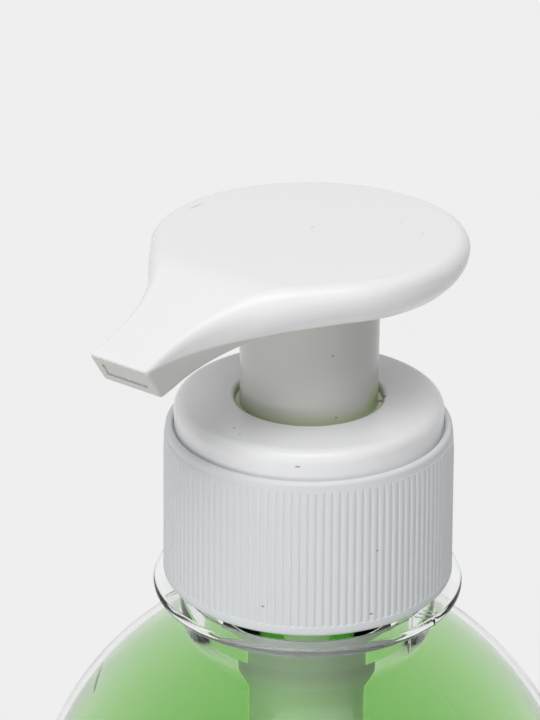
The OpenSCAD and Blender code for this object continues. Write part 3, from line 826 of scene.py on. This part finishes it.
def screw_cap(finish_material):
    """Ribbed cap with a rolled lip, an inner flange and its thread."""
    foot_edge = 0.35
    ledge_edge = 0.06
    groove_fillet = 0.05
    thread_root = 0.2
    lip_h = LIP_Z - CAP_Z
    seat_h = CAP_FLANGE_Z - CAP_Z
    seat_top_h = CAP_FLANGE_TOP_Z - CAP_Z
    lip_in = COLLAR_R + RUN_FIT
    lip_out = cap_wall_r(lip_h) - 0.2
    lip_r = (lip_out - lip_in) / 2
    groove = cap_wall_r(RIB_BAND) - RIB_H
    section = [(CAP_BORE_R, foot_edge), (CAP_BORE_R + foot_edge, 0)]
    section += arc((CAP_R - foot_edge, foot_edge), foot_edge, -90, 0, 6)
    section += arc((cap_wall_r(RIB_BAND) - ledge_edge, RIB_BAND - ledge_edge), ledge_edge,
                   0, 90, 4)
    section += arc((groove + groove_fillet, RIB_BAND + groove_fillet), groove_fillet,
                   270, 180, 3)
    section += [(cap_wall_r(RIB_TOP * t) - RIB_H, RIB_TOP * t) for t in (0.3, 0.6, 0.9)]
    section += arc((lip_out - lip_r, lip_h - lip_r), lip_r, 0, 180, 16)
    section += [(lip_in, seat_top_h), (FOOT_R + FREE_FIT, seat_top_h), (FOOT_R + FREE_FIT, seat_h),
                (CAP_BORE_R, seat_h)]
    shell = lathe("cap_shell", [(r, CAP_Z + z) for r, z in section], WIDE_STEPS)
    ribs = ribs_round_cap(rib_mesh(), finish_material)
    first_turn = NECK_TURNS - CAP_TURNS
    helix = thread("cap_thread", CAP_BORE_R + thread_root, FINISH_R + FREE_FIT,
                   THREAD_Z - PITCH / 2 + PITCH * first_turn, first_turn, CAP_TURNS)
    cap = join("ribbed_cap", shell, ribs, helix)
    cap.data.materials.append(finish_material)
    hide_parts("screw_cap")
    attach(cap, "cap")
    return cap


def soap_residue():
    """Ring of dried soap in the gap between the collar's hole and the skirt."""
    play = 0.03
    low, high = DOME_Z - 1.2, DOME_Z - 0.7
    piece = lathe("soap_residue", tube_section(SKIRT_R + play, HOLE_R - play, low, high),
                  NARROW_STEPS)
    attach(piece, "pump_core")
    return piece


def collar():
    """Flat-topped collar with its well and guide sleeve."""
    rim_z = DOME_Z - COLLAR_FALL
    seat_z = CAP_FLANGE_TOP_Z + SEAT_GAP
    web_z = FLANGE_TOP_Z + SEAT_GAP
    well_under = WELL_Z - WELL_FLOOR_T
    sleeve_top = WELL_Z + SLEEVE_H
    bore = STEM_R + RUN_FIT
    wall_in = COLLAR_R - COLLAR_T
    section = arc((HOLE_R + HOLE_EDGE_R, DOME_Z - HOLE_EDGE_R), HOLE_EDGE_R, 180, 90, 8)
    section += arc((COLLAR_R - COLLAR_EDGE_R, rim_z - COLLAR_EDGE_R), COLLAR_EDGE_R, 90, 0, 16)
    section += [(COLLAR_R, seat_z), (wall_in, seat_z), (wall_in, rim_z - COLLAR_EDGE_R),
                (COLLAR_R - COLLAR_EDGE_R, rim_z - COLLAR_T), (FOOT_R, rim_z - COLLAR_T),
                (FOOT_R, web_z), (WELL_R, web_z), (WELL_R, well_under), (bore, well_under),
                (bore, WELL_Z), (SLEEVE_IN_R, WELL_Z), (SLEEVE_IN_R, sleeve_top),
                (SLEEVE_R, sleeve_top), (SLEEVE_R, WELL_Z), (HOLE_R, WELL_Z)]
    piece = lathe("flat_topped_collar", section, WIDE_STEPS)
    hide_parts("collar")
    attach(piece, "pump_core")
    return piece


# Bottle and soap

def dome_points(radius, lift):
    """The hollow under the floor, from the axis outward."""
    steps = 14
    sphere = (radius ** 2 + PUSH_UP ** 2) / (2 * PUSH_UP)
    xs = [radius * i / steps for i in range(steps + 1)]
    return [(x, lift + PUSH_UP - sphere + math.sqrt(sphere ** 2 - x * x)) for x in xs]


def inside_points(inset, top):
    """Half section of the bottle's inside, from the floor's centre up, drawn in by inset."""
    inner = SHOULDER_R - WALL - inset
    mouth = BORE_R - inset
    end = math.degrees(math.acos((mouth - SHOULDER_AXIS_R) / inner))
    points = dome_points(BODY_R - CORNER_R - FOOT_W, FLOOR_T + inset)
    points += arc((BODY_R - CORNER_R, CORNER_R + WALL / 2), CORNER_R - WALL - inset,
                  -90, 0, 10)
    points += arc((SHOULDER_AXIS_R, SHOULDER_Z), inner, 0, end, 60)
    points.append((mouth, top))
    return points


def parting_line(body, outside):
    """Raises the mould's parting line on the shoulder and neck, at either side."""
    rise = 0.06
    on_plane = 1e-4
    heights = {round(z, 3) for r, z in outside
               if NECK_R - 0.1 < r < BODY_R - 1 and z > SHOULDER_Z}
    radii = {round(r, 3) for r, z in outside}
    for vert in body.data.vertices:
        x, y, z = vert.co / MM
        if abs(y) < on_plane and round(z, 3) in heights and round(abs(x), 3) in radii:
            vert.co.x += math.copysign(rise * MM, x)


def ring_ticks():
    """Three short slanted flash marks where the parting line crosses the support ring."""
    half, rise, root, slant = 0.06, 0.08, 0.1, 0.5
    inner, outer = RING_R - 1.9, RING_R - 0.5
    ticks = []
    for y in (-1.1, -0.3, 0.5):
        foot = [(inner, y - half), (inner, y + half),
                (outer, y + slant + half), (outer, y + slant - half)]
        ticks.append(skin("ring_tick", [[(px, py, z) for px, py in foot]
                                        for z in (RING_Z - root, RING_Z + rise)]))
    return ticks


def bottle():
    """Clear bottle with its neck, support ring and thread."""
    fillet_z = SHOULDER_Z + math.sqrt((SHOULDER_R + NECK_FILLET) ** 2
                                      - (NECK_R + NECK_FILLET - SHOULDER_AXIS_R) ** 2)
    turn = math.degrees(math.atan2(fillet_z - SHOULDER_Z, NECK_R + NECK_FILLET - SHOULDER_AXIS_R))
    edge = RING_T * 0.45
    ring_fillet, foot_fillet, mouth_edge = 0.5, 0.4, 0.4
    thread_root = 0.2
    outside = dome_points(BODY_R - CORNER_R - FOOT_W, 0)
    outside += arc((BODY_R - CORNER_R, CORNER_R), CORNER_R, -90, 0, 14)
    outside += arc((SHOULDER_AXIS_R, SHOULDER_Z), SHOULDER_R, 0, turn, 64)
    outside += arc((NECK_R + NECK_FILLET, fillet_z), NECK_FILLET, 180 + turn, 180, 10)
    outside += arc((NECK_R + ring_fillet, RING_Z - RING_T - ring_fillet), ring_fillet,
                   180, 90, 6)
    outside += arc((RING_R - edge, RING_Z - RING_T + edge), edge, -90, 0, 7)
    outside += arc((RING_R - edge, RING_Z - edge), edge, 0, 90, 7)
    outside += arc((FINISH_R + foot_fillet, RING_Z + foot_fillet), foot_fillet, 270, 180, 4)
    outside += arc((FINISH_R - mouth_edge, MOUTH_Z - mouth_edge), mouth_edge, 0, 90, 5)
    section = outside + list(reversed(inside_points(0, MOUTH_Z)))
    seam_half = math.radians(0.35)
    body = lathe("bottle_body", section, WIDE_STEPS,
                 (seam_half, math.pi - seam_half, math.pi + seam_half, 2 * math.pi - seam_half))
    parting_line(body, outside)
    helix = thread("neck_thread", FINISH_R - thread_root, FINISH_R + THREAD_DEPTH, THREAD_Z, 0,
                   NECK_TURNS)
    piece = join("clear_bottle", body, helix, *ring_ticks())
    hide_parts("bottle")
    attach(piece, "bottle")
    return piece


def housing_outside(gap):
    """Half section of the housing and dip tube, from the neck down, set off by gap."""
    tail = TAIL_R + gap
    return [(LOWER_CUP_R + gap, BODY_H + FILL_H), (LOWER_CUP_R + gap, WAIST_Z - gap),
            (BARREL_R + gap, CHAMBER_Z - gap), (BARREL_R + gap, CHAMBER_FLOOR_Z - gap),
            (tail, TAIL_TOP_Z - gap), (tail, TAIL_Z - gap), (TUBE_R + gap, TAIL_Z - gap),
            (TUBE_R + gap, TUBE_Z - TUBE_T), (0, TUBE_Z - TUBE_T)]


def liquid_soap():
    """The soap, a hair inside the bottle's wall and clear of the pump."""
    wall_gap, pump_gap = 0.02, 0.1
    section = inside_points(wall_gap, BODY_H + FILL_H) + housing_outside(pump_gap)
    piece = lathe("soap_filling", section, WIDE_STEPS)
    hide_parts("liquid_soap")
    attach(piece, "bottle")
    return piece


def pump_housing():
    """Cup, barrel and tail of the pump under the cap."""
    low_in = LOWER_CUP_R - HOUSING_T
    slope = 0.4
    seat_step = 0.2
    flange_r = FINISH_R + THREAD_DEPTH - 2 * FREE_FIT
    tube_bore = TUBE_R + PRESS_FIT
    cup_floor_z = CUP_Z + HOUSING_T
    tube_seat_z = TUBE_TOP_Z + SEAT_GAP
    section = [(flange_r, FLANGE_Z), (flange_r, FLANGE_TOP_Z), (CUP_IN_R, FLANGE_TOP_Z),
               (CUP_IN_R, cup_floor_z), (low_in, cup_floor_z - slope), (low_in, WAIST_Z + slope),
               (CHAMBER_R + slope, CHAMBER_Z + 1.5 * slope), (CHAMBER_R, CHAMBER_Z),
               (CHAMBER_R, CHAMBER_FLOOR_Z), (BALL_SEAT_R, CHAMBER_FLOOR_Z),
               (BALL_SEAT_R, CHAMBER_FLOOR_Z - seat_step), (INLET_R, BALL_SEAT_Z),
               (INLET_R, tube_seat_z), (tube_bore, tube_seat_z), (tube_bore, TAIL_Z),
               (TAIL_R, TAIL_Z), (TAIL_R, TAIL_TOP_Z), (BARREL_R, CHAMBER_FLOOR_Z - slope),
               (BARREL_R, CHAMBER_Z), (LOWER_CUP_R, WAIST_Z), (LOWER_CUP_R, CUP_Z - slope),
               (CUP_R, CUP_Z + slope / 2), (CUP_R, FLANGE_Z)]
    piece = lathe("housing_shell", section, HOUSING_STEPS)
    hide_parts("pump_housing")
    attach(piece, "pump_core")
    return piece


def dip_tube():
    """Tube from the housing to near the floor."""
    piece = lathe("dip_tube_wall", tube_section(TUBE_R - TUBE_T, TUBE_R, TUBE_Z, TUBE_TOP_Z),
                  NARROW_STEPS)
    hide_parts("dip_tube")
    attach(piece, "pump_core")
    return piece


def return_spring():
    """Coil of spring wire over the height of the model's spring, with a closed turn at each end.
    """
    low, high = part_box("return_spring")
    steps, sides = 36, 10
    bottom = low[2] / MM + WIRE_R
    height = (high[2] - low[2]) / MM - 2 * WIRE_R
    closed_rise = 2 * WIRE_R + SEAT_GAP
    rings = []
    for i in range(COIL_TURNS * steps + 1):
        t = i / steps
        if t < 1:
            z = t * closed_rise
        elif t > COIL_TURNS - 1:
            z = height - (COIL_TURNS - t) * closed_rise
        else:
            z = closed_rise + (height - 2 * closed_rise) * (t - 1) / (COIL_TURNS - 2)
        a = 2 * math.pi * t
        ring = []
        for k in range(sides):
            b = 2 * math.pi * k / sides
            r = COIL_R + WIRE_R * math.cos(b)
            ring.append((r * math.cos(a), r * math.sin(a), bottom + z + WIRE_R * math.sin(b)))
        rings.append(ring)
    piece = skin("spring_coil", rings)
    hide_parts("return_spring")
    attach(piece, "spring")
    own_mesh(piece)
    return piece


# Finishes

def head_plastic():
    """White of the head, with its marks, painted shade that greys it below the pad's underside,
    and residue at the skirt's foot.
    """
    top = PAD_Z + PAD_T
    material, tree, shader = moulded_plastic(
        "white_head", (0.885, 0.885, 0.892), (0.875, 0.875, 0.887), 0.2, ripple=0.006)
    # Painted shade: the white greys from just above the pad's underside downwards, over the skirt,
    # the head's underside and the lower spout
    overlay = reach_mask(tree, radial=False, none=PAD_Z + 0.1, full=PAD_Z - 0.2, most=0.85)
    stain(tree, shader, overlay, (0.585, 0.59, 0.555))
    residue = reach_mask(tree, radial=False, none=DOME_Z + 1.3, full=DOME_Z - 0.3, most=0.9)
    stain(tree, shader, residue, (0.6, 0.67, 0.48))
    specks(tree, shader, [
        ((0.45, 0.44, 0.43), (-13.8, -1.56, top), 0, (0.1, 1.3, 0.3)),
        (GREY_SPECK, (-0.39, 0.81, top), 0, (0.13, 0.13, 0.3)),
        (SCRATCH, (5.94, 7.5, top), 108, (1.2, 0.08, 0.3)),
        (SCRATCH, (9.6, 6.2, top), 112, (1.3, 0.08, 0.3)),
        (OLIVE_SPECK, (6.02, -4.03, 146.6), 0, (0.15, 0.15, 0.15)),
        (OLIVE_SPECK, (6.25, -3.68, 139.7), 0, (0.15, 0.15, 0.15)),
        ((0.5, 0.6, 0.36), (6.9, 2.0, 140.2), 0, (1.3, 2.3, 1.6)),
    ])
    return material


def collar_plastic():
    """White of the collar, with its specks and the residue round its hole."""
    material, tree, shader = moulded_plastic(
        "white_collar", (0.85, 0.852, 0.86), (0.84, 0.842, 0.855), 0.14, ripple=0.006)
    residue = reach_mask(tree, radial=True, none=HOLE_R + 0.45, full=HOLE_R - 0.1, most=0.85)
    stain(tree, shader, residue, (0.52, 0.6, 0.4))
    specks(tree, shader, [
        (GREY_SPECK, (-0.89, -11.34, DOME_Z), 0, (0.16, 0.13, 0.4)),
        ((0.35, 0.35, 0.35), (0.46, -12.06, DOME_Z), 0, (0.13, 0.13, 0.4)),
        ((0.55, 0.3, 0.3), (7.67, -11.95, 137.8), 30, (0.35, 0.12, 0.12)),
        (BROWN_SPECK, (6.55, 4.3, DOME_Z - 0.3), 34, (0.45, 0.3, 0.6)),
    ])
    return material


def residue_soap():
    """Dried soap in the gap round the skirt, with a brown speck."""
    material, tree, shader = moulded_plastic(
        "soap_residue", (0.66, 0.72, 0.5), (0.55, 0.64, 0.4), 0.25, scale=700.0)
    specks(tree, shader, [(BROWN_SPECK, (6.4, 4.25, DOME_Z - 0.7), 34, (0.8, 0.4, 0.9))])
    return material


def cap_plastic():
    """Slightly bluish white of the cap, with three dark specks."""
    material, tree, shader = moulded_plastic(
        "white_cap", (0.72, 0.745, 0.76), (0.71, 0.735, 0.755), 0.42, ripple=0.002)
    for place in ((13.96, -6.74, 128.2), (13.67, -7.31, 121.1), (5.35, -14.55, 122.3)):
        specks(tree, shader, [((0.25, 0.25, 0.25), place, 0, (0.25, 0.25, 0.13))])
    return material


def dress():
    """Makes the pieces and puts each one's finish on it."""
    white_head = head_plastic()
    natural = frosted_plastic("natural_plastic", (0.8, 0.82, 0.81), 0.3)
    pump_head().data.materials.append(white_head)
    dried_soap().data.materials.append(white_head)
    screw_cap(cap_plastic())
    collar().data.materials.append(collar_plastic())
    soap_residue().data.materials.append(residue_soap())
    bottle().data.materials.append(clear_plastic())
    liquid_soap().data.materials.append(soap_liquid())
    pump_housing().data.materials.append(natural)
    dip_tube().data.materials.append(natural)
    return_spring().data.materials.append(spring_wire())
    foam, _, _ = moulded_plastic("gasket_foam", (0.8, 0.8, 0.76), (0.74, 0.74, 0.7), 0.7,
                                 scale=400.0, ripple=0.3)
    ball = frosted_plastic("ball_glass", (0.85, 0.9, 0.88), 0.8, 0.02)
    for node, finish in (("gasket", foam), ("inlet_ball", ball), ("ball_retainer", natural),
                         ("piston", natural), ("piston_rod", natural), ("stem", natural)):
        carried = frame["nodes"][node]
        carried.data.materials.clear()
        carried.data.materials.append(finish)


# Stage

def seen_rays(tree):
    """One for the rays that show the surroundings to the eye, directly, mirrored or through
    clear parts, and zero for the rays that only light the object."""
    rays = add(tree, "ShaderNodeLightPath")
    direct = add(tree, "ShaderNodeMath", "MAXIMUM")
    every = add(tree, "ShaderNodeMath", "MAXIMUM")
    tree.links.new(rays.outputs["Is Camera Ray"], direct.inputs[0])
    tree.links.new(rays.outputs["Is Glossy Ray"], direct.inputs[1])
    tree.links.new(direct.outputs["Value"], every.inputs[0])
    tree.links.new(rays.outputs["Is Transmission Ray"], every.inputs[1])
    return every.outputs["Value"], rays.outputs["Is Transmission Ray"]


def world():
    """Even pale surroundings."""
    surroundings = bpy.data.worlds.new("studio")
    bpy.context.scene.world = surroundings
    surroundings.use_nodes = True
    tree = surroundings.node_tree
    tree.nodes.clear()
    output = add(tree, "ShaderNodeOutputWorld")
    lit = add(tree, "ShaderNodeBackground", Color=grey(1), Strength=SKY_LIGHT)
    seen = add(tree, "ShaderNodeBackground", Color=grey(BACKGROUND), Strength=1.0)
    mix = add(tree, "ShaderNodeMixShader")
    tree.links.new(seen_rays(tree)[0], mix.inputs["Fac"])
    tree.links.new(lit.outputs["Background"], mix.inputs[1])
    tree.links.new(seen.outputs["Background"], mix.inputs[2])
    tree.links.new(mix.outputs["Shader"], output.inputs["Surface"])


def plate(name, corners):
    """A flat four-cornered piece of the stage."""
    mesh = bpy.data.meshes.new(name)
    mesh.from_pydata([Vector(p) * MM for p in corners], [], [(0, 1, 2, 3)])
    return new_object(name, mesh)


def floor():
    """Pale floor that keeps the shadow near the base and fades into the background."""
    far_off = 1500
    fade_from, fade_to = 60, 140
    below = 0.2
    plane = plate("floor", [(-far_off, -far_off, 0), (far_off, -far_off, 0),
                            (far_off, far_off, 0), (-far_off, far_off, 0)])
    plane.location.z = -below * MM
    material, tree, shader, output = node_material("floor_paper")
    fill(shader, Base_Color=grey(0.9), Roughness=0.8)
    glow = add(tree, "ShaderNodeEmission", Color=grey(BACKGROUND))
    place = add(tree, "ShaderNodeTexCoord")
    length = add(tree, "ShaderNodeVectorMath", "LENGTH")
    far = add(tree, "ShaderNodeMapRange", From_Min=fade_from * MM, From_Max=fade_to * MM)
    fade = add(tree, "ShaderNodeMath", "MULTIPLY")
    bright = add(tree, "ShaderNodeMath", "MAXIMUM")
    seen, through = seen_rays(tree)
    mix = add(tree, "ShaderNodeMixShader")
    tree.links.new(place.outputs["Object"], length.inputs[0])
    tree.links.new(length.outputs["Value"], far.inputs["Value"])
    tree.links.new(far.outputs["Result"], fade.inputs[0])
    tree.links.new(seen, fade.inputs[1])
    tree.links.new(fade.outputs["Value"], bright.inputs[0])
    tree.links.new(through, bright.inputs[1])
    tree.links.new(bright.outputs["Value"], mix.inputs["Fac"])
    tree.links.new(shader.outputs["BSDF"], mix.inputs[1])
    tree.links.new(glow.outputs["Emission"], mix.inputs[2])
    tree.links.new(mix.outputs["Shader"], output.inputs["Surface"])
    plane.data.materials.append(material)


def around(azimuth_deg, distance, z):
    """A point round the bottle, by its angle to the right of the camera's own."""
    a = CAMERA_AZIMUTH + math.radians(azimuth_deg)
    return (distance * math.sin(a), -distance * math.cos(a), z)


def softbox(name, azimuth_deg, distance, z, width, height, watts, glossy=False):
    """A rectangular lamp that faces the collar. Only a glossy one shows in glossy parts."""
    centre = Vector(around(azimuth_deg, distance, z))
    target = Vector((0, 0, 140))
    data = bpy.data.lights.new(name, "AREA")
    data.shape = "RECTANGLE"
    data.size = width * MM
    data.size_y = height * MM
    data.energy = watts
    lamp = new_object(name, data)
    lamp.location = centre * MM
    lamp.rotation_euler = (centre - target).to_track_quat("Z", "Y").to_euler()
    lamp.visible_camera = False
    lamp.visible_glossy = glossy


def dark_card(name, azimuth_deg, shades):
    """An upright dark card beside the bottle, which the camera can't see. It shows in glossy
    parts, and may take light from the side that faces it."""
    distance, half, height = 420, 190, 460
    side = Vector(around(azimuth_deg + 90, half, 0))
    centre = Vector(around(azimuth_deg, distance, 0))
    rise = Vector((0, 0, height))
    card = plate(name, [centre - side, centre + side, centre + side + rise, centre - side + rise])
    card.visible_camera = False
    card.visible_shadow = False
    card.visible_diffuse = shades
    material, _, shader, _ = node_material(name)
    fill(shader, Base_Color=grey(0.05), Roughness=1.0)
    card.data.materials.append(material)


def camera():
    """The photograph's view."""
    data = bpy.data.cameras.new("camera")
    data.sensor_fit = "AUTO"
    data.sensor_width = SENSOR_MM
    data.lens = FOCAL_PX / FRAME_H_PX * SENSOR_MM
    data.clip_start = 0.01
    data.clip_end = 10
    eye = new_object("camera", data)
    eye.location = [c * MM for c in around(0, CAMERA_BACK, CAMERA_Z)]
    eye.rotation_euler = (math.pi / 2 - CAMERA_PITCH, 0, CAMERA_AZIMUTH + CAMERA_YAW)
    bpy.context.scene.camera = eye


dress()
world()
floor()
softbox("key_light", 8, 260, 750, width=440, height=430, watts=1.0, glossy=True)
softbox("fill_light", -12, 410, 750, width=500, height=300, watts=2.4)
softbox("low_light", -35, 500, 20, width=400, height=60, watts=0.4)
dark_card("left_card", -75, shades=False)
dark_card("right_card", 75, shades=True)
camera()
bpy.context.scene.view_settings.view_transform = "Standard"
